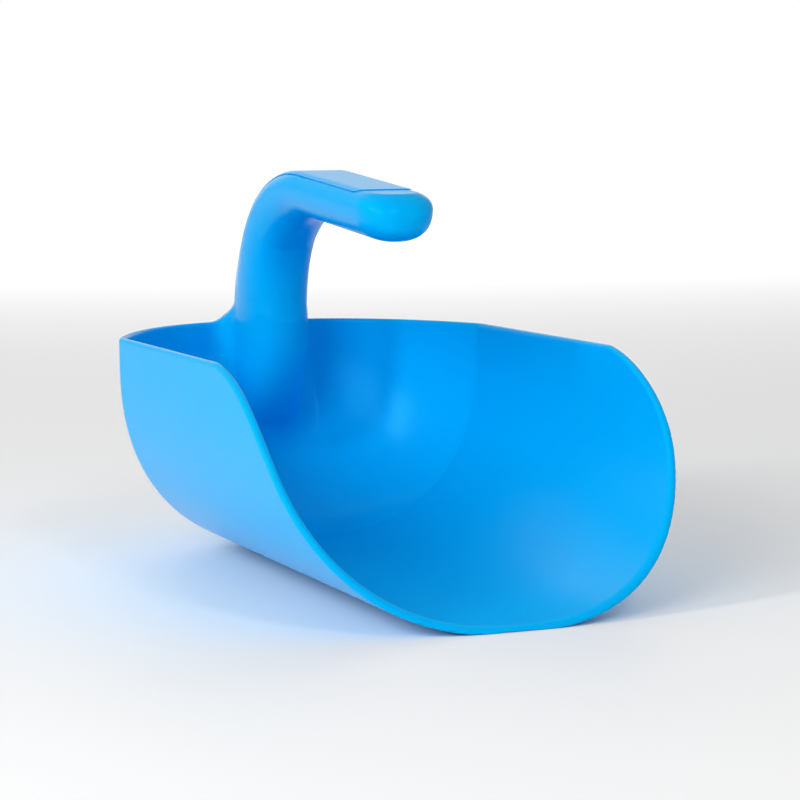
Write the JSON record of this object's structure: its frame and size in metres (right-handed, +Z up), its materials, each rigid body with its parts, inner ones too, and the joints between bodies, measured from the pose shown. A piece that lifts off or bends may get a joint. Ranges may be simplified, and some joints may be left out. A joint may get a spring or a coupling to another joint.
{
  "type": "hand scoop",
  "caption": "Open-mouthed hand scoop with a rounded back, a sloping rounded mouth and a bent handle that reaches forward over the bowl.",
  "frame": {"origin": "on the floor, at the middle of the bowl's length and width", "axes": "+X from the closed back towards the open mouth, +Y across, +Z up"},
  "size_m": [0.2699, 0.1598, 0.1535],
  "materials": {
    "bowl": "semi-gloss blue moulded polypropylene",
    "handle": "semi-gloss blue moulded polypropylene",
    "strip": "smooth blue moulded polypropylene, flat"
  },
  "bodies": {
    "root": {"scoop_bowl": "bowl", "handle": "handle", "handle_strip": "strip"}
  },
  "joints": []
}
